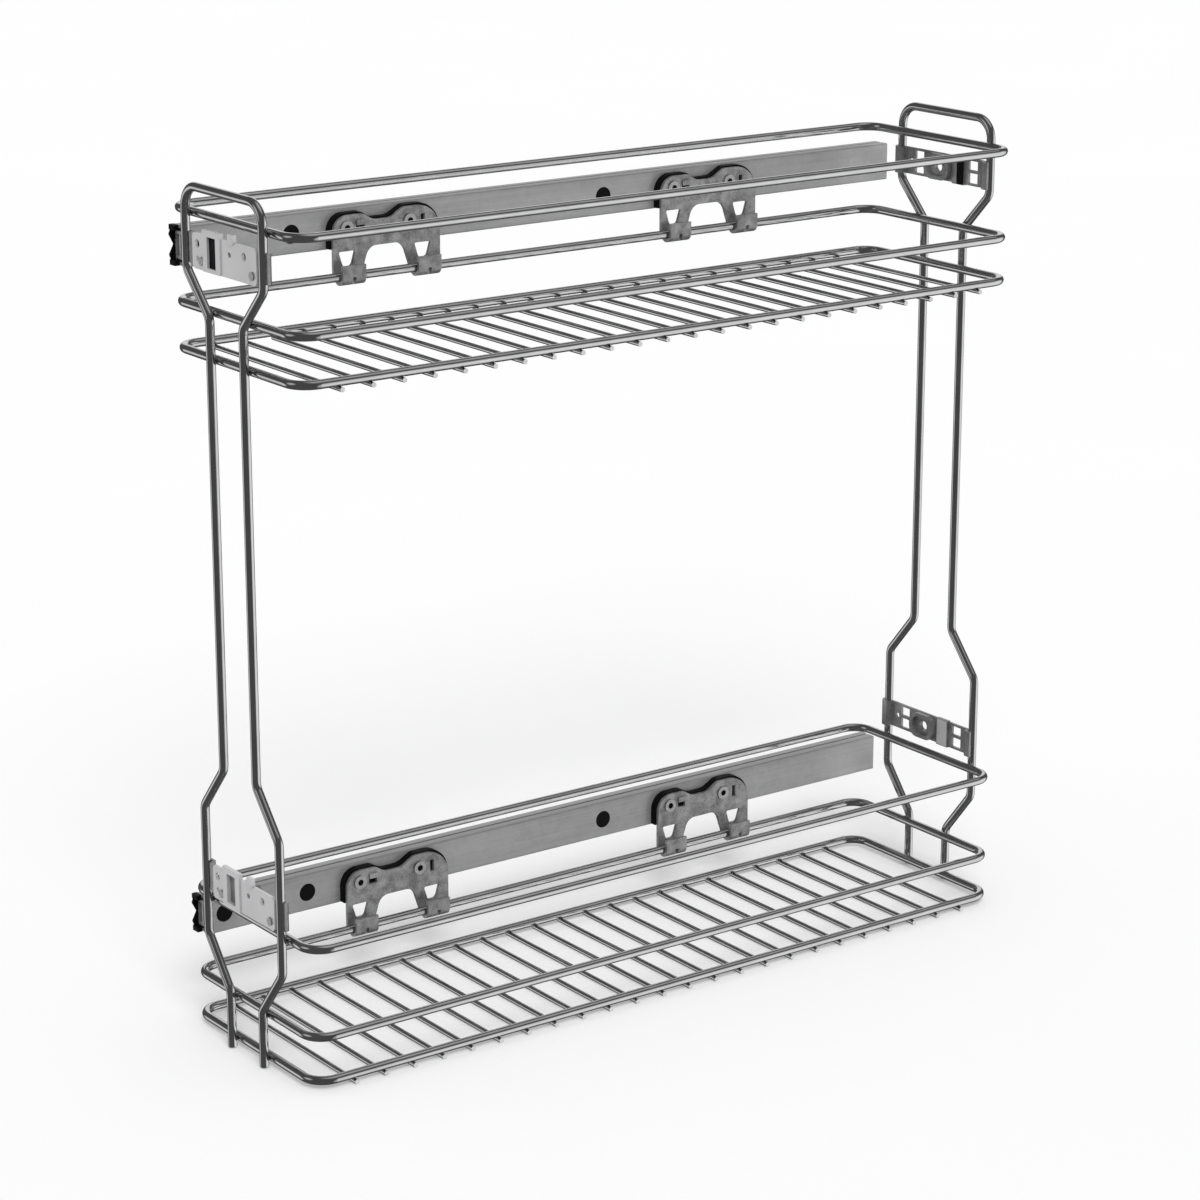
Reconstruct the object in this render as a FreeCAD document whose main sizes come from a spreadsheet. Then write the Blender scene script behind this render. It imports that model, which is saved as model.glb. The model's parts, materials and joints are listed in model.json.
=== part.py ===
import FreeCAD, Part
import math
import os
import Sketcher

# Two-tier wire basket that pulls out of a narrow base cabinet on two telescopic slides.
# X runs along the basket and the front end is at low X, so the basket comes out towards -X.
# Y runs from the open side to the cabinet wall that carries the slides, and Z is up.
# The origin lies on the cabinet wall, in the middle of the wall rails' four outer fixing holes.
# Lengths below are drawn from the axes of the lower floor ring's front and open-side wires.

os.makedirs("parts", exist_ok=True)
doc = FreeCAD.newDocument("PullOutBasket")

# Driving dimensions in millimetres

SIZES = {
    # rings and cross wires
    "basket_length": 480.0,
    "basket_width": 125.0,
    "ring_wire": 5.0,
    "ring_bend": 12.0,
    "middle_ring_height": 25.0,
    "top_ring_height": 75.0,
    "tier_rise": 380.0,
    "weld_bite": 0.1,
    "cross_wire": 2.8,
    "cross_count": 24,
    "cross_margin": 24.0,
    "cross_overhang": 0.5,
    # end frames
    "frame_wire": 5.0,
    "frame_wide": 78.0,
    "frame_narrow": 34.0,
    "frame_top_rise": 15.0,
    "frame_foot": 4.5,
    "frame_top_bend": 12.0,
    "frame_bend": 8.0,
    "upper_shoulder_drop": 29.0,
    "upper_neck_drop": 23.0,
    "lower_shoulder_drop": 19.5,
    "lower_neck_drop": 27.5,
    "lower_flare_rise": 55.0,
    "waist_rise": 26.0,
    # slides
    "rail_start": 13.0,
    "rail_length": 488.0,
    "rail_centre_height": 50.0,
    "rail_height": 22.0,
    "rail_skin": 1.2,
    "rail_depth": 5.6,
    "rail_bend": 1.0,
    "rail_offset": 9.0,
    "slide_depth": 12.7,
    "race_wall": 0.74,
    "race_depth": 0.95,
    "race_offset": 3.3,
    "ball": 2.5,
    "ball_clearance": 0.03,
    "ball_count": 8,
    "cage_length": 150.0,
    "cage_margin": 8.5,
    "cage_start": 177.0,
    "cage_width": 2.8,
    "cage_thickness": 1.0,
    "cage_clearance": 0.2,
    "beam_depth": 8.7,
    "beam_web": 1.5,
    "travel": 450.0,
    "end_tab": 1.2,
    "end_gap": 0.3,
    "stop_inset": 2.0,
    "stop_length": 4.0,
    "stop_height": 1.3,
    "stop_clear": 4.3,
    "wall_stop_rise": 1.8,
    "rail_stop_rise": 3.0,
    "near_stop_rise": 3.4,
    # wall fixings
    "fixing_front": 10.5,
    "fixing_second": 65.0,
    "fixing_middle": 274.0,
    "access_hole": 10.5,
    "bush_flange": 8.0,
    "bush_flange_height": 2.0,
    "bush_body": 6.4,
    "bush_bore": 4.4,
    "bush_clearance": 0.05,
    # front bumpers
    "bumper_skin": 1.5,
    "bumper_tip": 3.4,
    "bumper_root": 1.2,
    "bumper_notch": 0.6,
    "bumper_gap": 0.5,
    "bumper_arm": 3.0,
    "bumper_tip_round": 1.5,
    "bumper_root_round": 1.0,
    # carriage brackets
    "bracket_front": 135.5,
    "bracket_rear": 359.0,
    "bracket_width": 69.5,
    "bracket_skin": 2.0,
    "bracket_base": 39.7,
    "left_lobe_height": 58.0,
    "left_lobe_round": 10.0,
    "left_lobe_reach": 19.75,
    "right_lobe_height": 59.0,
    "right_lobe_round": 15.0,
    "right_lobe_reach": 23.75,
    "saddle_height": 54.0,
    "saddle_start": -9.0,
    "saddle_end": 3.0,
    "saddle_round": 10.0,
    "lobe_shoulder_round": 6.0,
    "arch_centre": -1.0,
    "arch_foot": 33.0,
    "arch_top": 22.0,
    "arch_round": 7.0,
    "left_leg": -26.0,
    "right_leg": 23.2,
    "hook_width": 15.0,
    "hook_gap": 0.2,
    "hook_lip": 6.5,
    "hook_notch": 2.4,
    "leg_window_width": 11.0,
    "leg_window_point": 5.8,
    "leg_window_top": 38.2,
    "leg_window_foot": 29.8,
    "leg_window_round": 2.4,
    "leg_window_corner": 0.8,
    "catch_place": -17.2,
    "catch_width": 5.4,
    "catch_top": 55.0,
    "catch_step": 52.0,
    "catch_foot": 48.5,
    "catch_rise": 1.2,
    "slot_place": 23.5,
    "slot_width": 2.6,
    "slot_foot": 47.0,
    "slot_top": 54.0,
    "spacer_margin": 1.0,
    "rivet_height": 51.0,
    "rivet_left": -26.0,
    "rivet_right": 14.8,
    "rivet_shank": 4.8,
    "rivet_clearance": 0.05,
    "rivet_face": 8.0,
    "rivet_head": 6.4,
    "rivet_head_height": 0.9,
    "rivet_bore": 3.6,
    # post clamps between the posts of each end frame
    "lower_clamp_rise": 14.5,
    "upper_clamp_drop": 17.6,
    "clamp_height": 16.0,
    "clamp_skin": 1.5,
    "clamp_clearance": 0.1,
    "clamp_bend": 2.0,
    "clamp_inner_bend": 0.5,
    "clamp_hook": 1.5,
    "near_window_start": 18.4,
    "near_window_end": 26.0,
    "far_window_start": 21.2,
    "far_window_end": 29.0,
    "upper_window_foot": 1.2,
    "upper_window_top": 6.6,
    "lower_window_foot": 6.6,
    "lower_window_top": 0.6,
    "clamp_hole": 3.4,
    "clamp_hole_place": 29.8,
    "pad_start": 7.6,
    "pad_end": 17.8,
    "pad_height": 17.0,
    "pad_rise": 0.8,
    "boss_place": -4.2,
    "boss_width": 21.6,
    "boss_height": 15.4,
    "boss_round": 6.5,
    "boss_rise": 3.4,
    "dish_width": 16.0,
    "dish_height": 11.0,
    "dish_round": 4.8,
    "dish_depth": 2.2,
    "screw_slot_width": 6.6,
    "screw_slot_height": 5.8,
    "screw_slot_round": 2.6,
    # door plates
    "plate_skin": 1.5,
    "plate_near": 35.8,
    "plate_far": 28.7,
    "plate_half": 9.5,
    "plate_round": 2.5,
    "plate_slot_place": 8.1,
    "plate_slot_width": 8.6,
    "plate_slot_foot": 7.4,
    "plate_slot_top": 9.0,
    "rim_width": 17.6,
    "rim_top": 12.4,
    "rim_rise": 0.8,
    "door_hole": 4.5,
    "door_hole_place": 23.6,
    "door_hole_rise": 3.8,
    "small_hole": 3.0,
    "small_hole_near": -9.1,
    "small_hole_near_rise": 2.6,
    "small_hole_far": 23.5,
    "small_hole_far_drop": 4.0,
    "plate_rivet_drop": 4.8,
    "plate_rivet_near": -31.4,
    "plate_rivet_far": 19.3,
    "plate_rivet_head": 4.4,
    "plate_rivet_shank": 2.4,
    "plate_rivet_rise": 0.8,
    "tab_start": -14.1,
    "tab_end": -8.7,
    "tab_top": 13.6,
    "tab_bite": 1.0,
    "tab_rise": 0.8,
}

sheet = doc.addObject("Spreadsheet::Sheet", "sizes")
for row, (alias, value) in enumerate(SIZES.items(), 1):
    sheet.set("A%d" % row, alias)
    sheet.set("B%d" % row, str(value))
    sheet.setAlias("B%d" % row, alias)
doc.recompute()


class Size:
    """A size kept both as its number and as the sheet expression that gives it."""

    def __init__(self, number, text):
        self.number = number
        self.text = text

    def __add__(self, other):
        other = as_size(other)
        return Size(self.number + other.number, "(%s + %s)" % (self.text, other.text))

    def __sub__(self, other):
        other = as_size(other)
        return Size(self.number - other.number, "(%s - %s)" % (self.text, other.text))

    def __mul__(self, factor):
        factor = as_size(factor)
        return Size(self.number * factor.number, "(%s * %s)" % (self.text, factor.text))

    def __truediv__(self, divisor):
        divisor = as_size(divisor)
        return Size(self.number / divisor.number, "(%s / %s)" % (self.text, divisor.text))

    def __neg__(self):
        return Size(-self.number, "(-1 * %s)" % self.text)


def as_size(value):
    return value if isinstance(value, Size) else Size(float(value), repr(float(value)))


def size(alias):
    return Size(float(SIZES[alias]), "sizes." + alias)


ZERO = as_size(0)

# Places worked out from the driving dimensions

length = size("basket_length")
width = size("basket_width")
ring_wire = size("ring_wire")
frame_wire = size("frame_wire")
tier_rise = size("tier_rise")
weld_bite = size("weld_bite")
frame_offset = (ring_wire + frame_wire) / 2 - weld_bite
rail_half = size("rail_height") / 2
rail_skin = size("rail_skin")
rail_depth = size("rail_depth")
slide_depth = size("slide_depth")
rail_face = width + size("rail_offset")
race_near = size("race_offset")
race_far = slide_depth - race_near
race_depth = size("race_depth")
race_apex = rail_half - size("race_wall")
race_face = race_apex - race_depth
ball_reach = (size("ball") / 2 + size("ball_clearance")) * math.sqrt(2)
ball_height = race_apex - ball_reach
beam_apex = ball_height - ball_reach
beam_face = beam_apex + race_depth
beam_inner = beam_apex - size("race_wall")
beam_near = (slide_depth - size("beam_depth")) / 2
beam_far = slide_depth - beam_near
beam_web_near = (slide_depth - size("beam_web")) / 2
beam_web_far = slide_depth - beam_web_near
beam_length = size("rail_length") - size("end_tab") - size("end_gap")
moving_stop = beam_length - size("stop_inset") - size("stop_length")
fixed_stop = moving_stop - size("travel") / 2 - size("end_gap") - size("stop_length")
stop_foot = size("stop_clear")
stop_top = stop_foot + size("stop_height")
fixings = [size("fixing_front"), size("fixing_second"), size("fixing_middle")]
origin = (
    size("rail_start") + (size("fixing_front") + size("fixing_middle")) / 2,
    rail_face + slide_depth,
    size("rail_centre_height") + tier_rise / 2,
)
hook_inner = ring_wire / 2 + size("hook_gap")
hook_outer = hook_inner + size("bracket_skin")
bracket_half = size("bracket_width") / 2
rivet_hole = size("rivet_shank") + size("rivet_clearance") * 2
post_clear = frame_wire / 2 + size("clamp_clearance")
clamp_outer = post_clear + size("clamp_skin")
post_half = size("frame_wide") / 2
sheet_face = size("clamp_skin") / 2
plate_face = sheet_face + size("plate_skin")
top_ring = size("top_ring_height")
clamp_levels = {
    "lower": top_ring + size("lower_clamp_rise"),
    "upper": tier_rise + top_ring - size("upper_clamp_drop"),
}

tiers = {"lower": ZERO, "upper": tier_rise}
parts = []


# Helpers for bodies, sketches and features

def bind(target, path, value):
    target.setExpression(path, as_size(value).text)


def new_body(label, x=ZERO, y=ZERO, z=ZERO, turn=0):
    """A named piece placed at x, y, z and turned about the upright axis."""
    body = doc.addObject("PartDesign::Body", label)
    body.Label = label
    body.Placement = FreeCAD.Placement(FreeCAD.Vector(), FreeCAD.Rotation(FreeCAD.Vector(0, 0, 1), turn))
    bind(body, "Placement.Base.x", x - origin[0])
    bind(body, "Placement.Base.y", y - origin[1])
    bind(body, "Placement.Base.z", z - origin[2])
    parts.append(body)
    return body


def new_sketch(body, plane, level):
    """A sketch on one of the body's own planes, lifted by level along that plane's normal."""
    support = [face for face in body.Origin.OriginFeatures if face.Role == plane][0]
    sketch = body.newObject("Sketcher::SketchObject", "Sketch")
    sketch.AttachmentSupport = [(support, "")]
    sketch.MapMode = "FlatFace"
    bind(sketch, "AttachmentOffset.Base.z", level)
    return sketch


def draw_path(sketch, corners, closed=True):
    """Straight runs through corners given as (across, up) or (across, up, bend radius)."""
    corners = [(as_size(c[0]), as_size(c[1]), as_size(c[2]) if len(c) > 2 else ZERO) for c in corners]
    count = len(corners)
    runs = count if closed else count - 1
    points = [FreeCAD.Vector(c[0].number, c[1].number, 0) for c in corners]
    ways = [(points[(i + 1) % count] - points[i]).normalize() for i in range(runs)]
    bends = {i: corners[i][2].number for i in range(count) if corners[i][2].number > 0}
    trims = [0.0] * count
    for i, radius in bends.items():
        turn = math.acos(max(-1.0, min(1.0, ways[i - 1].dot(ways[i]))))
        trims[i] = radius * math.tan(turn / 2)
    first = sketch.GeometryCount
    shapes = []
    for i in range(runs):
        after = (i + 1) % count
        start = points[i] + ways[i] * trims[i]
        finish = points[after] - ways[i] * trims[after]
        shapes.append(Part.LineSegment(start, finish))
    arcs = {}
    for i, radius in bends.items():
        arcs[i], arc = bend_arc(first + len(shapes), points[i], ways[i - 1], ways[i], trims[i], radius)
        shapes.append(arc)
    sketch.addGeometry(shapes, False)
    marks = {i: first + len(shapes) + place for place, i in enumerate(arcs)}
    if marks:
        sketch.addGeometry([Part.Point(points[i]) for i in marks], True)
    rules = Rules(sketch)
    for i in range(count):
        before = first + (i - 1) % runs if closed or i > 0 else None
        after = first + i if closed or i < runs else None
        if i in arcs:
            arc, entry, leave = arcs[i]
            rules.add("Tangent", before, 2, arc, entry)
            rules.add("Tangent", arc, leave, after, 1)
            rules.add_sized("Radius", arc, size=corners[i][2])
            rules.add("PointOnObject", marks[i], 1, before)
            rules.add("PointOnObject", marks[i], 1, after)
            rules.place(marks[i], 1, corners[i])
        elif before is None:
            rules.place(after, 1, corners[i])
        elif after is None:
            rules.place(before, 2, corners[i])
        else:
            rules.add("Coincident", before, 2, after, 1)
            rules.place(after, 1, corners[i])
    rules.apply()


def bend_arc(number, corner, way_in, way_out, trim, radius):
    """The arc that rounds one corner, with its sketch number and the ends met by the two runs."""
    left = way_in.x * way_out.y - way_in.y * way_out.x > 0
    side = FreeCAD.Vector(-way_in.y, way_in.x, 0) * (1 if left else -1)
    entry = corner - way_in * trim
    leave = corner + way_out * trim
    centre = entry + side * radius
    circle = Part.Circle(centre, FreeCAD.Vector(0, 0, 1), radius)
    first, last = (entry, leave) if left else (leave, entry)
    start = math.atan2(first.y - centre.y, first.x - centre.x)
    finish = math.atan2(last.y - centre.y, last.x - centre.x)
    if finish < start:
        finish += 2 * math.pi
    ends = (number, 1, 2) if left else (number, 2, 1)
    return ends, Part.ArcOfCircle(circle, start, finish)


class Rules:
    """Constraints gathered for one sketch, with the sizes that drive them."""

    def __init__(self, sketch):
        self.sketch = sketch
        self.constraints = []
        self.sizes = {}

    def add(self, kind, *items):
        self.constraints.append(Sketcher.Constraint(kind, *items))

    def add_sized(self, kind, *items, size):
        self.sizes[len(self.constraints)] = size
        self.add(kind, *items, size.number)

    def place(self, shape, point, corner):
        self.add_sized("DistanceX", -1, 1, shape, point, size=corner[0])
        self.add_sized("DistanceY", -1, 1, shape, point, size=corner[1])

    def apply(self):
        first = self.sketch.ConstraintCount
        self.sketch.addConstraint(self.constraints)
        for number, value in self.sizes.items():
            bind(self.sketch, "Constraints[%d]" % (first + number), value)


def draw_circle(sketch, across, up, diameter):
    across, up, diameter = as_size(across), as_size(up), as_size(diameter)
    centre = FreeCAD.Vector(across.number, up.number, 0)
    circle = Part.Circle(centre, FreeCAD.Vector(0, 0, 1), diameter.number / 2)
    number = sketch.addGeometry(circle, False)
    rules = Rules(sketch)
    rules.place(number, 3, (across, up))
    rules.add_sized("Diameter", number, size=diameter)
    rules.apply()


def rectangle(left, right, foot, top, bend=None):
    """Corners of a rectangle, all rounded by the same radius if one is given."""
    spots = [(left, foot), (right, foot), (right, top), (left, top)]
    return [spot + (bend,) for spot in spots] if bend is not None else spots


def oval(place, across, up, bend):
    """Corners of a rounded rectangle about a place on the horizontal middle line."""
    return rectangle(place - across / 2, place + across / 2, -up / 2, up / 2, bend)


def extrude(body, kind, sketch, depth, back=False):
    feature = body.newObject("PartDesign::" + kind, kind)
    feature.Profile = sketch
    feature.Reversed = back
    bind(feature, "Length", depth)
    return feature


def add_along_x(body, corners, start, depth):
    """Solid with its outline in the YZ plane, from start towards +X."""
    sketch = new_sketch(body, "YZ_Plane", start)
    draw_path(sketch, corners)
    return extrude(body, "Pad", sketch, depth)


def add_along_y(body, corners, start, depth):
    """Solid with its outline in the XZ plane, from start towards +Y."""
    sketch = new_sketch(body, "XZ_Plane", -as_size(start))
    draw_path(sketch, corners)
    return extrude(body, "Pad", sketch, depth, back=True)


def add_along_z(body, corners, start, depth):
    """Solid with its outline in the XY plane, from start upwards."""
    sketch = new_sketch(body, "XY_Plane", start)
    draw_path(sketch, corners)
    return extrude(body, "Pad", sketch, depth)


def cut_along_y(body, outlines, start, depth):
    """Openings with their outlines in the XZ plane, cut from start towards +Y."""
    sketch = new_sketch(body, "XZ_Plane", -as_size(start))
    for corners in outlines:
        draw_path(sketch, corners)
    return extrude(body, "Pocket", sketch, depth)


def cut_along_x(body, outlines, start, depth):
    """Openings with their outlines in the YZ plane, cut from start towards +X."""
    sketch = new_sketch(body, "YZ_Plane", start)
    for corners in outlines:
        draw_path(sketch, corners)
    return extrude(body, "Pocket", sketch, depth, back=True)


def drill_along_y(body, spots, diameter, start, depth):
    sketch = new_sketch(body, "XZ_Plane", -as_size(start))
    for across, up in spots:
        draw_circle(sketch, across, up, diameter)
    return extrude(body, "Pocket", sketch, depth)


def drill_along_x(body, spots, diameter, start, depth):
    """Holes cut from start towards +X."""
    sketch = new_sketch(body, "YZ_Plane", start)
    for across, up in spots:
        draw_circle(sketch, across, up, diameter)
    return extrude(body, "Pocket", sketch, depth, back=True)


def rod_along(body, plane, spots, diameter, level, depth, back=False):
    """Round pegs, one at each spot of the plane, from level along or against its normal."""
    sketch = new_sketch(body, plane, level)
    for across, up in spots:
        draw_circle(sketch, across, up, diameter)
    return extrude(body, "Pad", sketch, depth, back)


def bent_wire(body, plane, corners, closed, section_plane, section_level, section_at, diameter):
    """A round wire swept along its bent axis, with its section drawn square to the first run."""
    spine = new_sketch(body, plane, ZERO)
    draw_path(spine, corners, closed)
    section = new_sketch(body, section_plane, section_level)
    draw_circle(section, section_at[0], section_at[1], diameter)
    pipe = body.newObject("PartDesign::AdditivePipe", "Wire")
    pipe.Profile = section
    pipe.Spine = spine
    return pipe


# Basket wires

def build_ring(label, height):
    """One closed basket ring; its sweep starts in the middle of the open-side wire."""
    body = new_body(label, z=height)
    bend = size("ring_bend")
    corners = [
        (length / 2, ZERO),
        (length, ZERO, bend),
        (length, width, bend),
        (ZERO, width, bend),
        (ZERO, ZERO, bend),
    ]
    bent_wire(body, "XY_Plane", corners, True, "YZ_Plane", length / 2, (ZERO, ZERO), ring_wire)


def build_cross_wires(label, floor):
    """Straight wires welded under the bottom ring, spaced evenly along it."""
    drop = (ring_wire + size("cross_wire")) / 2 - weld_bite
    reach = ring_wire / 2 + size("cross_overhang")
    body = new_body(label, z=floor)
    sketch = new_sketch(body, "XZ_Plane", reach)
    draw_circle(sketch, size("cross_margin"), -drop, size("cross_wire"))
    first = extrude(body, "Pad", sketch, width + reach * 2, back=True)
    row = body.newObject("PartDesign::LinearPattern", "Row")
    row.Originals = [first]
    row.Direction = (sketch, ["H_Axis"])
    bind(row, "Length", length - size("cross_margin") * 2)
    bind(row, "Occurrences", size("cross_count"))
    body.Tip = row


def build_end_frame(label, place):
    """One bent wire per end: wide beside each tier and narrow between the tiers."""
    wide = size("frame_wide") / 2
    narrow = size("frame_narrow") / 2
    bend = size("frame_bend")
    lower_shoulder = top_ring - size("lower_shoulder_drop")
    lower_flare = top_ring + size("lower_flare_rise")
    upper_shoulder = tier_rise + top_ring - size("upper_shoulder_drop")
    rising = [
        (narrow, lower_shoulder - size("lower_neck_drop"), bend),
        (wide, lower_shoulder, bend),
        (wide, lower_flare, bend),
        (narrow, lower_flare + size("waist_rise"), bend),
        (narrow, upper_shoulder - size("upper_neck_drop"), bend),
        (wide, upper_shoulder, bend),
        (wide, tier_rise + top_ring + size("frame_top_rise"), size("frame_top_bend")),
    ]
    foot = -size("frame_foot")
    falling = [(-spot[0], spot[1], spot[2]) for spot in reversed(rising)]
    corners = [(narrow, foot)] + rising + falling + [(-narrow, foot)]
    body = new_body(label, x=place, y=width / 2)
    bent_wire(body, "YZ_Plane", corners, False, "XY_Plane", foot, (ZERO, narrow), frame_wire)


# Slides, drawn from the rail's front end with the open side's face at zero depth

def slide_body(label, floor):
    return new_body(label, size("rail_start"), rail_face, floor + size("rail_centre_height"))


def rail_section(face, inside, tip, race):
    """A C channel with a V race in each flange; face, inside and tip are depths."""
    upper = [
        (face, rail_half, size("rail_bend")),
        (tip, rail_half),
        (tip, race_face),
        (race + (tip - face) / rail_depth * race_depth, race_face),
        (race, race_apex),
        (race - (tip - face) / rail_depth * race_depth, race_face),
        (inside, race_face),
    ]
    lower = [(spot[0], -spot[1]) + spot[2:] for spot in reversed(upper)]
    return upper + lower


def stop_pair(body, start, near, far, top):
    """Two small stops, above and below the middle, between two depths."""
    for foot, head in ((stop_foot, top), (-top, -stop_foot)):
        add_along_x(body, rectangle(near, far, foot, head), start, size("stop_length"))


def build_wall_rail(label, floor):
    """Channel screwed to the cabinet wall."""
    inside = slide_depth - rail_skin
    tip = slide_depth - rail_depth
    body = slide_body(label, floor)
    add_along_x(body, rail_section(slide_depth, inside, tip, race_far), ZERO, size("rail_length"))
    tab = rectangle(tip, inside + rail_skin / 2, -beam_inner, beam_inner)
    add_along_x(body, tab, size("rail_length") - size("end_tab"), size("end_tab"))
    stop_pair(body, fixed_stop, inside - size("wall_stop_rise"), inside + rail_skin / 2, stop_top)
    spots = [(place, ZERO) for place in fixings]
    hole = size("bush_body") + size("bush_clearance") * 2
    drill_along_y(body, spots, hole, tip, slide_depth)


def build_bushes(label, floor):
    """Black bushes in the wall channel's holes; a screw goes through each one's bore."""
    inside = slide_depth - rail_skin
    spots = [(place, ZERO) for place in fixings]
    head = inside - size("bush_flange_height")
    body = slide_body(label, floor)
    rod_along(body, "XZ_Plane", spots, size("bush_flange"), -head, size("bush_flange_height"), True)
    rod_along(body, "XZ_Plane", spots, size("bush_body"), -inside, rail_skin, True)
    drill_along_y(body, spots, size("bush_bore"), head - rail_skin, size("slide_depth"))


def build_bumper(label, floor):
    """Black end piece on the wall channel's front end, with two rounded points."""
    skin = size("bumper_skin")
    tip = -size("bumper_tip")
    root = -size("bumper_root")
    quarter = rail_half / 2
    blunt = size("bumper_tip_round")
    easy = size("bumper_root_round")
    body = slide_body(label, floor)
    outline = [
        (ZERO, -rail_half),
        (root, -rail_half, easy),
        (tip, -quarter, blunt),
        (-size("bumper_notch"), ZERO, easy),
        (tip, quarter, blunt),
        (root, rail_half, easy),
        (ZERO, rail_half),
    ]
    add_along_y(body, outline, slide_depth - skin, skin)
    arm_start = slide_depth - rail_depth
    inner = beam_face + size("bumper_gap")
    for foot, head in ((inner, rail_half), (-rail_half, -inner)):
        arm = rectangle(-size("bumper_arm"), ZERO, foot, head)
        add_along_y(body, arm, arm_start, rail_depth)


def build_basket_rail(label, floor):
    """Channel that carries the basket, with holes that reach the wall fixings."""
    body = slide_body(label, floor)
    add_along_x(body, rail_section(ZERO, rail_skin, rail_depth, race_near), ZERO, size("rail_length"))
    stop_pair(body, moving_stop, rail_skin / 2, rail_skin + size("rail_stop_rise"), stop_top)
    drill_along_y(body, [(place, ZERO) for place in fixings], size("access_hole"), -rail_skin, rail_depth)
    spots = rivet_spots(size("rail_start"))
    shift = size("rail_centre_height")
    spots = [(across, up - shift) for across, up in spots]
    drill_along_y(body, spots, rivet_hole, -rail_skin, rail_depth)


def build_beam(label, floor):
    """Middle member: an H section that runs in both channels."""
    upper = [
        (beam_near, beam_inner),
        (beam_near, beam_face),
        (race_near - race_depth, beam_face),
        (race_near, beam_apex),
        (race_near + race_depth, beam_face),
        (race_far - race_depth, beam_face),
        (race_far, beam_apex),
        (race_far + race_depth, beam_face),
        (beam_far, beam_face),
        (beam_far, beam_inner),
        (beam_web_far, beam_inner),
    ]
    lower = [(spot[0], -spot[1]) for spot in reversed(upper)]
    body = slide_body(label, floor)
    outline = upper + lower + [(beam_web_near, -beam_inner), (beam_web_near, beam_inner)]
    add_along_x(body, outline, ZERO, beam_length)
    stop_pair(body, moving_stop, beam_web_near, beam_far, beam_inner)
    stop_pair(body, fixed_stop, beam_web_near - size("near_stop_rise"), beam_web_far, beam_inner)
    spots = [(place, ZERO) for place in fixings]
    drill_along_y(body, spots, size("access_hole"), beam_near, size("beam_depth"))


def ball_places():
    """Places of one row of balls along the slide, spaced evenly between the cage's ends."""
    first = size("cage_start") + size("cage_margin")
    pitch = (size("cage_length") - size("cage_margin") * 2) / (size("ball_count") - 1)
    return [first + pitch * number for number in range(int(SIZES["ball_count"]))]


def build_cages(label, floor, race):
    """The upper and lower ball cages of one stage."""
    half = size("cage_width") / 2
    thick = size("cage_thickness")
    body = slide_body(label, floor)
    for level in (ball_height - thick / 2, -ball_height - thick / 2):
        sketch = new_sketch(body, "XY_Plane", level)
        finish = size("cage_start") + size("cage_length")
        draw_path(sketch, rectangle(size("cage_start"), finish, race - half, race + half))
        for place in ball_places():
            draw_circle(sketch, place, race, size("ball") + size("cage_clearance"))
        extrude(body, "Pad", sketch, thick)


def build_balls(label, floor, race):
    """The two rows of balls of one stage, all alike, in one group of separate solids."""
    radius = SIZES["ball"] / 2
    spots = [(place.number, race.number, level.number)
             for level in (ball_height, -ball_height) for place in ball_places()]
    balls = doc.addObject("Part::Feature", label)
    balls.Label = label
    balls.Shape = Part.makeCompound([Part.makeSphere(radius, FreeCAD.Vector(*spot)) for spot in spots])
    start = (size("rail_start"), rail_face, floor + size("rail_centre_height"))
    place = [(value - shift).number for value, shift in zip(start, origin)]
    balls.Placement = FreeCAD.Placement(FreeCAD.Vector(*place), FreeCAD.Rotation())
    parts.append(balls)


# Carriage brackets, drawn about their middle and the axis of the middle ring's wall-side wire

def saddle_outline(place, margin):
    """Upper part of a bracket, two lobes with a dip between them, grown by the margin."""
    half = bracket_half + margin
    left_top = size("left_lobe_height") + margin
    right_top = size("right_lobe_height") + margin
    dip = size("saddle_height") + margin
    return [
        (place - half, size("bracket_base")),
        (place - half, left_top, size("left_lobe_round")),
        (place - half + size("left_lobe_reach"), left_top, size("lobe_shoulder_round")),
        (place + size("saddle_start"), dip, size("saddle_round")),
        (place + size("saddle_end"), dip, size("saddle_round")),
        (place + half - size("right_lobe_reach"), right_top, size("lobe_shoulder_round")),
        (place + half, right_top, size("right_lobe_round")),
        (place + half, size("bracket_base")),
    ]


def build_carriage_bracket(label, floor, place):
    """Cast bracket: a plate with two lobes, two legs and a hook at each foot."""
    body = new_body(label, x=place, y=width, z=floor)
    add_along_y(body, saddle_outline(ZERO, ZERO), hook_inner, size("bracket_skin"))
    wire_height = size("middle_ring_height")
    skirt_top = size("bracket_base") + size("bracket_skin")
    skirt = rectangle(-bracket_half, bracket_half, wire_height, skirt_top)
    add_along_y(body, skirt, hook_inner, size("bracket_skin"))
    middle = size("arch_centre")
    arch = [
        (middle - size("arch_foot") / 2, wire_height - size("bracket_skin")),
        (middle + size("arch_foot") / 2, wire_height - size("bracket_skin")),
        (middle + size("arch_top") / 2, size("bracket_base"), size("arch_round")),
        (middle - size("arch_top") / 2, size("bracket_base"), size("arch_round")),
    ]
    through = size("bracket_skin") * 2
    legs = [size("left_leg"), size("right_leg")]
    windows = [leg_window(leg) for leg in legs]
    cut_along_y(body, [arch] + windows, ZERO, hook_inner + through)
    for leg in legs:
        add_along_x(body, hook_outline(wire_height), leg - size("hook_width") / 2, size("hook_width"))
    half = size("hook_notch") / 2
    foot = wire_height - hook_outer - half
    notches = [rectangle(leg - half, leg + half, foot, wire_height) for leg in legs]
    cut_along_y(body, notches, -hook_outer * 2, hook_outer * 2 - hook_inner)
    bracket_details(body)


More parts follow.
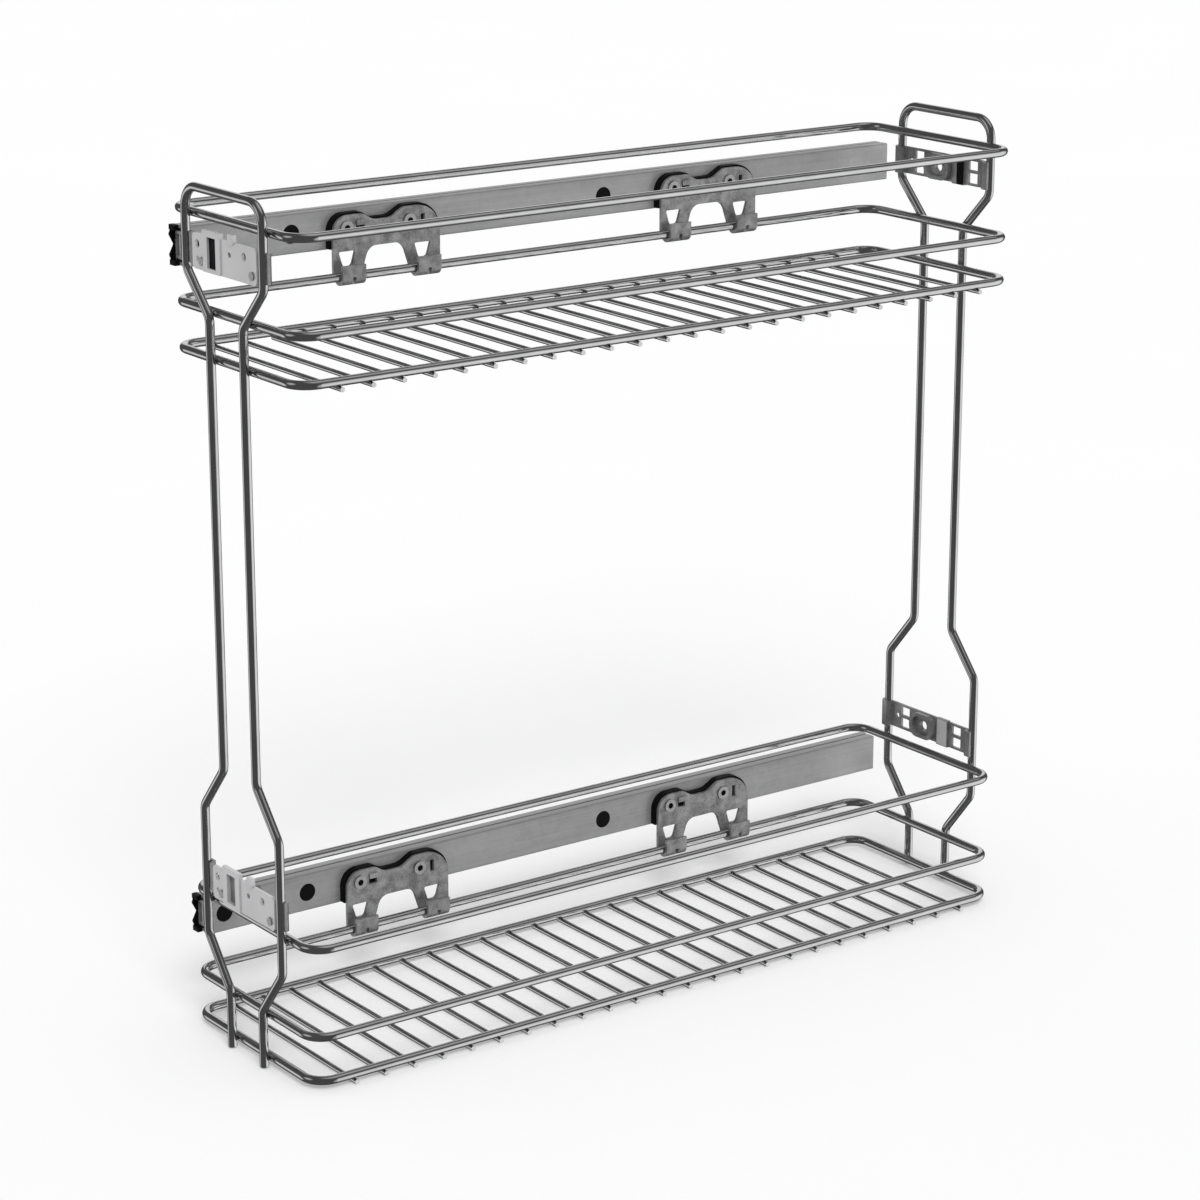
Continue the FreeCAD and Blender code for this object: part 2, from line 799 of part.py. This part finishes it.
def leg_window(middle):
    """Opening over one foot, wide at the top and narrow and round at the bottom."""
    half = size("leg_window_width") / 2
    point = size("leg_window_point") / 2
    bend = size("leg_window_round")
    corner = size("leg_window_corner")
    return [
        (middle - half, size("leg_window_top"), corner),
        (middle - point, size("leg_window_foot"), bend),
        (middle + point, size("leg_window_foot"), bend),
        (middle + half, size("leg_window_top"), corner),
    ]


def hook_outline(wire_height):
    """U that holds the wire from below, open upwards, its tall side against the leg."""
    short = size("hook_gap") / 2
    root = wire_height + size("bracket_skin")
    lip = wire_height + size("hook_lip")
    return [
        (hook_outer, root),
        (hook_outer, wire_height - hook_outer, hook_outer - short),
        (-hook_outer, wire_height - hook_outer, hook_outer - short),
        (-hook_outer, lip),
        (-hook_inner, lip),
        (-hook_inner, wire_height - hook_inner, hook_inner - short),
        (hook_inner, wire_height - hook_inner, hook_inner - short),
        (hook_inner, root),
    ]


def bracket_details(body):
    """Rivet holes, the catch over its opening, and the slot near the other lobe."""
    through = hook_outer * 2
    spots = [(size("rivet_left"), size("rivet_height")), (size("rivet_right"), size("rivet_height"))]
    drill_along_y(body, spots, rivet_hole, ZERO, through)
    left = size("catch_place") - size("catch_width") / 2
    right = size("catch_place") + size("catch_width") / 2
    half = size("slot_width") / 2
    place = size("slot_place")
    slot = rectangle(place - half, place + half, size("slot_foot"), size("slot_top"))
    opening = rectangle(left, right, size("catch_foot"), size("catch_step"))
    cut_along_y(body, [opening, slot], ZERO, through)
    tongue = rectangle(left, right, size("catch_step"), size("catch_top"))
    add_along_y(body, tongue, hook_inner - size("catch_rise"), size("catch_rise") + size("bracket_skin"))


def rivet_spots(origin):
    """Places of one tier's bracket rivets, along X from the given origin and up from the floor ring."""
    spots = []
    for place in (size("bracket_front"), size("bracket_rear")):
        for side in (size("rivet_left"), size("rivet_right")):
            spots.append((place + side - origin, size("rivet_height")))
    return spots


def build_bracket_spacers(label, floor):
    """Black spacers, a little larger than the brackets' upper parts, between them and the basket's rail."""
    body = new_body(label, y=width, z=floor)
    for place in (size("bracket_front"), size("bracket_rear")):
        outline = saddle_outline(place, size("spacer_margin"))
        add_along_y(body, outline, hook_outer, size("rail_offset") - hook_outer)
    drill_along_y(body, rivet_spots(ZERO), rivet_hole, ZERO, size("rail_offset") * 2)


def build_bracket_rivets(label, floor):
    """Hollow rivets that hold both brackets of a tier to the basket's rail."""
    spots = rivet_spots(ZERO)
    head = size("rivet_head_height")
    near = width + hook_inner - head
    far = rail_face + rail_skin
    body = new_body(label, z=floor)
    rod_along(body, "XZ_Plane", spots, size("rivet_face"), -near, head, True)
    rod_along(body, "XZ_Plane", spots, size("rivet_shank"), -near, far + head - near, True)
    rod_along(body, "XZ_Plane", spots, size("rivet_head"), -far, head, True)
    drill_along_y(body, spots, size("rivet_bore"), near - head, far - near)


# Post clamps and door plates, drawn about the middle of the end frame with the outside at low X

def end_body(label, end, level):
    """The front's pieces face -X, and the rear's are the same pieces turned half round."""
    if end == "front":
        return new_body(label, -frame_offset, width / 2, level)
    return new_body(label, length + frame_offset, width / 2, level, 180)


def build_post_clamp(label, end, level):
    """Strip between the posts, hooked behind both and round one, with a bored block, a pad and windows."""
    flank = post_half - post_clear
    leg = flank - size("clamp_skin")
    side = post_half + post_clear
    edge = side + size("clamp_skin")
    hook = post_half + size("clamp_hook")
    bend = size("clamp_bend")
    tight = size("clamp_inner_bend")
    half = size("clamp_height") / 2
    body = end_body(label, end, level)
    outline = [
        (-sheet_face, -flank, bend),
        (-sheet_face, flank, bend),
        (post_clear, flank, tight),
        (post_clear, hook),
        (clamp_outer, hook),
        (clamp_outer, leg, bend),
        (sheet_face, leg, tight),
        (sheet_face, -leg, tight),
        (clamp_outer, -leg, bend),
        (clamp_outer, -edge, clamp_outer - size("clamp_clearance")),
        (ZERO, -edge),
        (ZERO, -side),
        (post_clear, -side, post_clear - size("clamp_clearance")),
        (post_clear, -flank, tight),
    ]
    add_along_z(body, outline, -half, size("clamp_height"))
    skin = size("clamp_skin")
    pad = rectangle(size("pad_start"), size("pad_end"), -size("pad_height") / 2, size("pad_height") / 2)
    add_along_x(body, pad, -sheet_face, skin + size("pad_rise"))
    boss = oval(size("boss_place"), size("boss_width"), size("boss_height"), size("boss_round"))
    add_along_x(body, boss, -sheet_face, skin + size("boss_rise"))
    dish = oval(size("boss_place"), size("dish_width"), size("dish_height"), size("dish_round"))
    cut_along_x(body, [dish], sheet_face + size("boss_rise") - size("dish_depth"), size("boss_rise"))
    cut_along_x(body, clamp_openings(), -clamp_outer, clamp_outer * 2)
    spots = [(-size("clamp_hole_place"), ZERO)]
    drill_along_x(body, spots, size("clamp_hole"), -clamp_outer, clamp_outer * 2)
    if end == "front":
        shank = size("plate_rivet_shank") + size("rivet_clearance") * 2
        drill_along_x(body, plate_rivet_spots(), shank, -clamp_outer, clamp_outer * 2)


def clamp_openings():
    """The block's slot for the adjusting screw, and two windows one above the other near each end."""
    low, high = -size("lower_window_foot"), -size("lower_window_top")
    foot, top = size("upper_window_foot"), size("upper_window_top")
    openings = [oval(size("boss_place"), size("screw_slot_width"), size("screw_slot_height"),
                     size("screw_slot_round"))]
    spans = [(-size("near_window_end"), -size("near_window_start")),
             (size("far_window_start"), size("far_window_end"))]
    for left, right in spans:
        openings.append(rectangle(left, right, foot, top))
        openings.append(rectangle(left, right, low, high))
    return openings


def plate_rivet_spots():
    low = -size("plate_rivet_drop")
    return [(size("plate_rivet_near"), low), (size("plate_rivet_far"), low)]


def build_door_plate(label, level):
    """Plate on the front clamp that carries the door, with a border round its slot and a small tab."""
    face = -plate_face
    skin = size("plate_skin")
    half = size("plate_half")
    body = end_body(label, "front", level)
    main = rectangle(-size("plate_near"), size("plate_far"), -half, half, size("plate_round"))
    add_along_x(body, main, face, skin)
    middle = size("plate_slot_place")
    reach = size("rim_width") / 2
    rim = rectangle(middle - reach, middle + reach, -half, size("rim_top"))
    add_along_x(body, rim, face - size("rim_rise"), size("rim_rise") + skin)
    tab = rectangle(size("tab_start"), size("tab_end"), half - size("tab_bite"), size("tab_top"))
    add_along_x(body, tab, face - size("tab_rise"), size("tab_rise") + skin)
    reach = size("plate_slot_width") / 2
    slot = rectangle(middle - reach, middle + reach, -size("plate_slot_foot"), size("plate_slot_top"))
    through = plate_face * 2
    cut_along_x(body, [slot], face * 2, through)
    holes = [(size("door_hole_place") * side, size("door_hole_rise")) for side in (-1, 1)]
    drill_along_x(body, holes, size("door_hole"), face * 2, through)
    holes = [(size("small_hole_near"), size("small_hole_near_rise")),
             (size("small_hole_far"), -size("small_hole_far_drop"))]
    drill_along_x(body, holes, size("small_hole"), face * 2, through)
    shank = size("plate_rivet_shank") + size("rivet_clearance") * 2
    drill_along_x(body, plate_rivet_spots(), shank, face * 2, through)


def build_plate_rivets(label, level):
    """Small rivets that join a door plate to its clamp."""
    spots = plate_rivet_spots()
    body = end_body(label, "front", level)
    rod_along(body, "YZ_Plane", spots, size("plate_rivet_shank"), -plate_face, plate_face + sheet_face)
    rod_along(body, "YZ_Plane", spots, size("plate_rivet_head"), -plate_face - size("plate_rivet_rise"),
              size("plate_rivet_rise"))


# Assembly

for tier, floor in tiers.items():
    build_ring(tier + "_floor_ring", floor)
    build_ring(tier + "_middle_ring", floor + size("middle_ring_height"))
    build_ring(tier + "_top_ring", floor + size("top_ring_height"))
    build_cross_wires(tier + "_cross_wires", floor)
    build_wall_rail(tier + "_wall_rail", floor)
    build_bushes(tier + "_wall_bushes", floor)
    build_bumper(tier + "_rail_bumper", floor)
    build_beam(tier + "_slide_beam", floor)
    build_basket_rail(tier + "_basket_rail", floor)
    build_cages(tier + "_wall_cages", floor, race_far)
    build_cages(tier + "_basket_cages", floor, race_near)
    build_balls(tier + "_wall_balls", floor, race_far)
    build_balls(tier + "_basket_balls", floor, race_near)
    build_carriage_bracket(tier + "_front_bracket", floor, size("bracket_front"))
    build_carriage_bracket(tier + "_rear_bracket", floor, size("bracket_rear"))
    build_bracket_spacers(tier + "_bracket_spacers", floor)
    build_bracket_rivets(tier + "_bracket_rivets", floor)
    build_post_clamp(tier + "_front_clamp", "front", clamp_levels[tier])
    build_post_clamp(tier + "_rear_clamp", "rear", clamp_levels[tier])
    build_door_plate(tier + "_door_plate", clamp_levels[tier])
    build_plate_rivets(tier + "_plate_rivets", clamp_levels[tier])
build_end_frame("front_frame", -frame_offset)
build_end_frame("rear_frame", length + frame_offset)
doc.recompute()

for item in doc.Objects:
    if "Invalid" in item.State or "Error" in item.State:
        raise RuntimeError("%s failed: %s" % (item.Name, item.State))
for piece in parts:
    if piece.Shape.isNull() or not piece.Shape.isValid():
        raise RuntimeError("%s has no valid shape" % piece.Label)
for piece in parts:
    piece.Shape.exportStep("parts/%s.step" % piece.Label)
    print("%-24s %3d solids %10.1f mm3" % (piece.Label, len(piece.Shape.Solids), piece.Shape.Volume))
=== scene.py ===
import json
import math

import bpy
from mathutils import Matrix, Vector


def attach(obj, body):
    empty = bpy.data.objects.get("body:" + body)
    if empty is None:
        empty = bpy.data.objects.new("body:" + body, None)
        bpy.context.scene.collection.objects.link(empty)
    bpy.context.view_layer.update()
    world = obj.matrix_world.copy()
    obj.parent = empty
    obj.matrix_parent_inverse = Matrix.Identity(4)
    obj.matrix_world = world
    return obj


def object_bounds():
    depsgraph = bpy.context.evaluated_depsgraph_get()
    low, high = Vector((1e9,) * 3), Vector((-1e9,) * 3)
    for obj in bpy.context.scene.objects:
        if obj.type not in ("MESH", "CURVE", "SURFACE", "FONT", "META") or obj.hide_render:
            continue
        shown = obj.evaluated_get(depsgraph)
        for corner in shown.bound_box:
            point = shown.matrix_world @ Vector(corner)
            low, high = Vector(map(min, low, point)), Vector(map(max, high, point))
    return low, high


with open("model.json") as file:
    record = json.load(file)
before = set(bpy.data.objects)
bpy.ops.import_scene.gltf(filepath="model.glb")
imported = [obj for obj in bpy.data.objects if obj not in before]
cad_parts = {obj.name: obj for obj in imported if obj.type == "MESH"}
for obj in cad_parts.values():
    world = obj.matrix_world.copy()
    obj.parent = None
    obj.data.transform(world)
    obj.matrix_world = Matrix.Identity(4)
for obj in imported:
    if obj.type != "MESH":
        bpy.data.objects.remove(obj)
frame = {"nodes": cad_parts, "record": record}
cad_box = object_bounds()
record = frame["record"]
scene = bpy.context.scene

# Lengths are in metres and places in the row frame.


# Shader building

class Shader:
    """The nodes of a material or of the world, put together one at a time."""

    def __init__(self, owner):
        owner.use_nodes = True
        self.owner = owner
        self.tree = owner.node_tree
        self.tree.nodes.clear()

    def node(self, kind, **inputs):
        """A node with its sockets linked or set; an underscore stands for a blank in a socket's name."""
        made = self.tree.nodes.new(kind)
        for key, value in inputs.items():
            socket = made.inputs[key.replace("_", " ")]
            if isinstance(value, bpy.types.NodeSocket):
                self.tree.links.new(value, socket)
            else:
                socket.default_value = value
        return made

    def math(self, operation, first, second):
        made = self.tree.nodes.new("ShaderNodeMath")
        made.operation = operation
        for socket, value in zip(made.inputs, (first, second)):
            if isinstance(value, bpy.types.NodeSocket):
                self.tree.links.new(value, socket)
            else:
                socket.default_value = value
        return made.outputs[0]

    def remap(self, value, low, high, to_low, to_high):
        """The value moved from one range to another and held within it."""
        made = self.node("ShaderNodeMapRange", Value=value)
        made.inputs["From Min"].default_value = low
        made.inputs["From Max"].default_value = high
        made.inputs["To Min"].default_value = to_low
        made.inputs["To Max"].default_value = to_high
        return made.outputs["Result"]

    def place(self, scale):
        """The point on the object in the row frame, times a scale for each axis."""
        point = self.node("ShaderNodeTexCoord").outputs["Object"]
        mapping = self.node("ShaderNodeMapping", Vector=point)
        mapping.inputs["Scale"].default_value = scale
        return mapping.outputs["Vector"]

    def noise(self, scale, detail=3.0, roughness=0.5):
        point = self.place(scale)
        made = self.node("ShaderNodeTexNoise", Vector=point, Scale=1.0, Detail=detail, Roughness=roughness)
        return made.outputs["Fac"]

    def ramp(self, value, stops):
        """Greys given at positions between nought and one, with a trace of blue."""
        made = self.node("ShaderNodeValToRGB", Fac=value)
        elements = made.color_ramp.elements
        while len(elements) < len(stops):
            elements.new(0.5)
        for element, (position, grey) in zip(elements, stops):
            element.position = position
            element.color = (grey, grey, grey * 1.01, 1.0)
        return made.outputs["Color"]

    def bump(self, height, strength, distance):
        made = self.node("ShaderNodeBump", Height=height, Strength=strength, Distance=distance)
        return made.outputs["Normal"]

    def finish(self, metallic, **inputs):
        shader = self.node("ShaderNodeBsdfPrincipled", Metallic=metallic, **inputs)
        return self.output(shader.outputs["BSDF"])

    def output(self, shader):
        self.node("ShaderNodeOutputMaterial", Surface=shader)
        return self.owner


# Finishes

def chrome_wire():
    """Bright chrome on drawn wire: nearly a mirror, with faint waves and fine polish marks."""
    made = Shader(bpy.data.materials.new("chrome_wire"))
    waves = made.noise((60, 60, 60), 2.0)
    marks = made.noise((900, 900, 900), 4.0)
    tone = made.ramp(waves, [(0.30, 0.58), (0.70, 0.66)])
    roughness = made.remap(marks, 0.3, 0.7, 0.06, 0.13)
    normal = made.bump(waves, 0.25, 0.0004)
    return made.finish(1.0, Base_Color=tone, Roughness=roughness, Normal=normal)


def zinc_rail():
    """Galvanised strip: dull grey, drawn lengthways, with a faint crystal spangle."""
    made = Shader(bpy.data.materials.new("zinc_rail"))
    streaks = made.noise((8, 700, 700), 5.0, 0.6)
    clouds = made.noise((14, 60, 60), 3.0)
    spangle = made.node("ShaderNodeTexVoronoi", Vector=made.place((220, 220, 220)), Scale=1.0)
    flakes = made.node("ShaderNodeSeparateColor", Color=spangle.outputs["Color"]).outputs["Red"]
    mixed = made.math("ADD", made.math("MULTIPLY", streaks, 0.45), made.math("MULTIPLY", clouds, 0.45))
    mixed = made.math("ADD", mixed, made.math("MULTIPLY", flakes, 0.10))
    tone = made.ramp(mixed, [(0.30, 0.32), (0.55, 0.42), (0.75, 0.50)])
    roughness = made.remap(mixed, 0.3, 0.7, 0.34, 0.50)
    normal = made.bump(streaks, 0.12, 0.0002)
    return made.finish(0.45, Base_Color=tone, Roughness=roughness, Normal=normal)


def cast_bracket():
    """Die-cast zinc: darker and mottled, with a fine grainy skin."""
    made = Shader(bpy.data.materials.new("cast_bracket"))
    grain = made.noise((1400, 1400, 1400), 4.0, 0.6)
    clouds = made.noise((170, 170, 170), 4.0, 0.6)
    mixed = made.math("ADD", made.math("MULTIPLY", grain, 0.4), made.math("MULTIPLY", clouds, 0.6))
    tone = made.ramp(mixed, [(0.38, 0.15), (0.62, 0.40)])
    roughness = made.remap(mixed, 0.3, 0.7, 0.30, 0.42)
    normal = made.bump(grain, 0.18, 0.0002)
    return made.finish(0.5, Base_Color=tone, Roughness=roughness, Normal=normal)


def plated_strip():
    """Bright zinc plate on pressed strip."""
    made = Shader(bpy.data.materials.new("plated_strip"))
    grain = made.noise((160, 160, 160), 3.0)
    clouds = made.noise((40, 40, 40), 3.0)
    tone = made.ramp(clouds, [(0.30, 0.62), (0.70, 0.70)])
    roughness = made.remap(grain, 0.3, 0.7, 0.28, 0.34)
    normal = made.bump(grain, 0.02, 0.0002)
    return made.finish(0.5, Base_Color=tone, Roughness=roughness, Normal=normal)


def clamp_strip():
    """Plain zinc strip, duller than the plates."""
    made = Shader(bpy.data.materials.new("clamp_strip"))
    grain = made.noise((400, 400, 400), 4.0)
    clouds = made.noise((110, 110, 110), 3.0)
    tone = made.ramp(clouds, [(0.30, 0.20), (0.70, 0.34)])
    roughness = made.remap(grain, 0.3, 0.7, 0.26, 0.38)
    normal = made.bump(grain, 0.08, 0.0002)
    return made.finish(0.6, Base_Color=tone, Roughness=roughness, Normal=normal)


def rivet_steel():
    """Plain rivet metal with a peened surface."""
    made = Shader(bpy.data.materials.new("rivet_steel"))
    dents = made.noise((700, 700, 700), 3.0)
    tone = made.ramp(dents, [(0.30, 0.40), (0.70, 0.52)])
    roughness = made.remap(dents, 0.3, 0.7, 0.24, 0.36)
    normal = made.bump(dents, 0.2, 0.0002)
    return made.finish(1.0, Base_Color=tone, Roughness=roughness, Normal=normal)


def ball_steel():
    """Ground steel balls with a film of grease."""
    made = Shader(bpy.data.materials.new("ball_steel"))
    film = made.noise((600, 600, 600), 2.0)
    tone = made.ramp(film, [(0.30, 0.55), (0.70, 0.66)])
    roughness = made.remap(film, 0.3, 0.7, 0.06, 0.18)
    return made.finish(1.0, Base_Color=tone, Roughness=roughness)


def cage_steel():
    """Thin stamped strip."""
    made = Shader(bpy.data.materials.new("cage_steel"))
    streaks = made.noise((30, 600, 600), 4.0)
    tone = made.ramp(streaks, [(0.30, 0.40), (0.70, 0.55)])
    roughness = made.remap(streaks, 0.3, 0.7, 0.26, 0.40)
    return made.finish(1.0, Base_Color=tone, Roughness=roughness)


def black_plastic():
    """Moulded black plastic with a fine spark-eroded skin."""
    made = Shader(bpy.data.materials.new("black_plastic"))
    grain = made.noise((1800, 1800, 1800), 3.0)
    tone = made.ramp(grain, [(0.30, 0.003), (0.70, 0.006)])
    roughness = made.remap(grain, 0.3, 0.7, 0.40, 0.55)
    normal = made.bump(grain, 0.2, 0.0001)
    return made.finish(0.0, Base_Color=tone, Roughness=roughness, Normal=normal, Specular_IOR_Level=0.08)


finishes = {
    "chrome_wire": chrome_wire(),
    "zinc_rail": zinc_rail(),
    "cast_bracket": cast_bracket(),
    "plated_strip": plated_strip(),
    "rivet_steel": rivet_steel(),
    "ball_steel": ball_steel(),
    "cage_steel": cage_steel(),
    "black_plastic": black_plastic(),
}

# The post clamps are of duller strip than the door plates that share their slot

clamp_finish = clamp_strip()
for part in record["subparts"]:
    clamp = part["node"].endswith("_clamp")
    for holder in frame["nodes"][part["node"]].material_slots:
        holder.material = clamp_finish if clamp else finishes[part["material_slot"]]


# Small pieces that ride on the basket

def joined_rings(name, rings, finish):
    """A solid between rings of equal length, closed at both ends."""
    count = len(rings[0])
    last = count * (len(rings) - 1)
    faces = [tuple(range(count)), tuple(reversed(range(last, last + count)))]
    for start in range(0, last, count):
        for i in range(count):
            j = (i + 1) % count
            faces.append((start + i, start + count + i, start + count + j, start + j))
    mesh = bpy.data.meshes.new(name)
    mesh.from_pydata([point for ring in rings for point in ring], [], faces)
    mesh.materials.append(finishes[finish])
    piece = bpy.data.objects.new(name, mesh)
    scene.collection.objects.link(piece)
    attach(piece, "basket")
    return piece


# Inserts on the post clamps: black in the upper tier, light on the lower rear pad

CORNER_STEPS = 4
RIM_ROUND = 0.0006
RIM_SOFT = 0.00015
FACE_ROUND = 0.0005


def rounded_ring(depth, across, up, rounding):
    """Points round a rectangle with rounded corners, at one depth along X."""
    ring = []
    for corner, (side, level) in enumerate(((1, 1), (-1, 1), (-1, -1), (1, -1))):
        for step in range(CORNER_STEPS + 1):
            turn = math.radians(90 * corner + 90 / CORNER_STEPS * step)
            ring.append((depth, side * (across - rounding) + rounding * math.cos(turn),
                         level * (up - rounding) + rounding * math.sin(turn)))
    return ring


def insert(name, centre, across, up, thickness, finish):
    """A thin plate on the face at centre, its front towards -X; across and up are half widths."""
    rings = [
        rounded_ring(0.0, across, up, RIM_ROUND),
        rounded_ring(RIM_SOFT - thickness, across, up, RIM_ROUND),
        rounded_ring(-thickness, across - RIM_SOFT, up - RIM_SOFT, FACE_ROUND),
    ]
    joined_rings(name, rings, finish).location = centre


insert("upper_front_insert", (-0.1609, -0.0761, 0.1982), 0.0042, 0.0081, 0.0010, "black_plastic")
insert("upper_rear_insert", (0.3281, -0.0990, 0.1974), 0.0029, 0.0083, 0.0004, "black_plastic")
insert("lower_rear_insert", (0.3281, -0.0968, -0.1505), 0.0044, 0.0080, 0.0003, "plated_strip")


# Black discs recessed in the access holes of the rails that carry the basket: painted shade that makes the
# holes read black

SHADE_DISC_STEPS = 48
SHADE_DISC_RADIUS = 0.0052
SHADE_DISC_SOFT = 0.0003
SHADE_DISC_FACE_DEPTH = 0.00005
SHADE_DISC_RIM_DEPTH = 0.0002
SHADE_DISC_BACK_DEPTH = 0.0010
RAIL_FACE = -0.0127
TIER_HEIGHTS = {"lower": -0.190, "upper": 0.190}
HOLE_PLACES = {"front": -0.13175, "second": -0.07725, "rear": 0.13175}


def round_ring(depth, radius):
    """Points round a circle, at one depth along Y."""
    turns = [math.radians(-360 / SHADE_DISC_STEPS * step) for step in range(SHADE_DISC_STEPS)]
    return [(radius * math.cos(turn), depth, radius * math.sin(turn)) for turn in turns]


for tier, height in TIER_HEIGHTS.items():
    for spot, across in HOLE_PLACES.items():
        rings = [
            round_ring(SHADE_DISC_BACK_DEPTH, SHADE_DISC_RADIUS),
            round_ring(SHADE_DISC_RIM_DEPTH, SHADE_DISC_RADIUS),
            round_ring(SHADE_DISC_FACE_DEPTH, SHADE_DISC_RADIUS - SHADE_DISC_SOFT),
        ]
        # Each disc is near-black plastic set in a hole, painted shade for the dark inside it
        shade_disc = joined_rings("%s_%s_hole_shade_disc" % (tier, spot), rings, "black_plastic")
        shade_disc.location = (across, RAIL_FACE, height)


# Camera, from a fit of the photograph

camera_place = Vector((-1.04205, -1.6224, 0.5275))
camera_aim = Vector((0.08185, -0.0781, -0.0279))
camera = bpy.data.objects.new("camera", bpy.data.cameras.new("camera"))
camera.data.sensor_width = 36.0
camera.data.lens = 104.76
camera.data.clip_start = 0.05
camera.data.clip_end = 200.0
camera.location = camera_place
camera.rotation_euler = (camera_aim - camera_place).to_track_quat("-Z", "Y").to_euler()
scene.collection.objects.link(camera)
scene.camera = camera


# Floor

FLOOR_GLOW = 0.16
FLOOR_REACH = 60.0


def floor_material():
    """Pale floor that takes the soft shadow; a faint glow lifts it close to white for the eye."""
    made = Shader(bpy.data.materials.new("floor_pale"))
    speck = made.noise((3, 3, 3), 2.0)
    tone = made.ramp(speck, [(0.0, 0.83), (1.0, 0.85)])
    matt = made.node("ShaderNodeBsdfDiffuse", Color=tone)
    rays = made.node("ShaderNodeLightPath")
    seen = made.math("MAXIMUM", rays.outputs["Is Camera Ray"], rays.outputs["Is Glossy Ray"])
    strength = made.math("MULTIPLY", seen, FLOOR_GLOW)
    glow = made.node("ShaderNodeEmission", Color=(1.0, 1.0, 1.0, 1.0), Strength=strength)
    both = made.tree.nodes.new("ShaderNodeAddShader")
    made.tree.links.new(matt.outputs["BSDF"], both.inputs[0])
    made.tree.links.new(glow.outputs["Emission"], both.inputs[1])
    return made.output(both.outputs["Shader"])


lowest = cad_box[0][2]
sides = [(-1, -1), (1, -1), (1, 1), (-1, 1)]
corners = [(x * FLOOR_REACH, y * FLOOR_REACH, lowest) for x, y in sides]
floor_mesh = bpy.data.meshes.new("floor")
floor_mesh.from_pydata(corners, [], [(0, 1, 2, 3)])
floor_mesh.materials.append(floor_material())
floor = bpy.data.objects.new("floor", floor_mesh)
scene.collection.objects.link(floor)
# Reflections miss the floor and the lamp and see only the world's zones, so the glow has no part in them
floor.visible_glossy = False


# Lamp

sun = bpy.data.objects.new("key_light", bpy.data.lights.new("key_light", "SUN"))
sun.data.energy = 1.6
sun.data.angle = math.radians(28)
sun.rotation_euler = (math.radians(38), math.radians(-22), 0.0)
scene.collection.objects.link(sun)
sun.visible_glossy = False


# World: white to the eye, even on the surfaces, and light zones on a dark ground in reflections

AMBIENT = 0.62
DARK_GROUND = 0.085
ZONES = [
    # strength, direction, full within and gone beyond so many degrees of it
    (0.45, (0.30, -0.20, 0.93), 14, 34),
    (1.0, (0.80, -0.52, -0.28), 24, 44),
    (0.8, (-0.565, 0.776, -0.279), 8, 20),
    (0.8, (0.565, 0.776, 0.30), 14, 26),
    (0.5, (-0.90, 0.20, 0.35), 10, 24),
]

world = bpy.data.worlds.new("studio")
scene.world = world
studio = Shader(world)
direction = studio.node("ShaderNodeTexCoord").outputs["Generated"]


def facing(aim, inner, outer):
    """One near the direction aim and nought far from it, angles in degrees from aim."""
    dot = studio.node("ShaderNodeVectorMath")
    dot.operation = "DOT_PRODUCT"
    studio.tree.links.new(direction, dot.inputs[0])
    dot.inputs[1].default_value = Vector(aim).normalized()
    gone = math.cos(math.radians(outer))
    full = math.cos(math.radians(inner))
    return studio.remap(dot.outputs["Value"], gone, full, 0.0, 1.0)


def choose(share, level, other):
    """The level where share is one, and the other where it is nought."""
    rest = studio.math("SUBTRACT", 1.0, share)
    return studio.math("ADD", studio.math("MULTIPLY", share, level), studio.math("MULTIPLY", rest, other))


lit = 0.0
for strength, aim, inner, outer in ZONES:
    lit = studio.math("MAXIMUM", studio.math("MULTIPLY", facing(aim, inner, outer), strength), lit)
reflected = studio.remap(lit, 0.0, 1.0, DARK_GROUND, 1.0)
rays = studio.node("ShaderNodeLightPath")
level = choose(rays.outputs["Is Glossy Ray"], reflected, AMBIENT)
level = choose(rays.outputs["Is Camera Ray"], 1.0, level)
background = studio.node("ShaderNodeBackground", Color=(1.0, 1.0, 1.0, 1.0), Strength=level)
studio.node("ShaderNodeOutputWorld", Surface=background.outputs["Background"])

scene.view_settings.view_transform = "Standard"
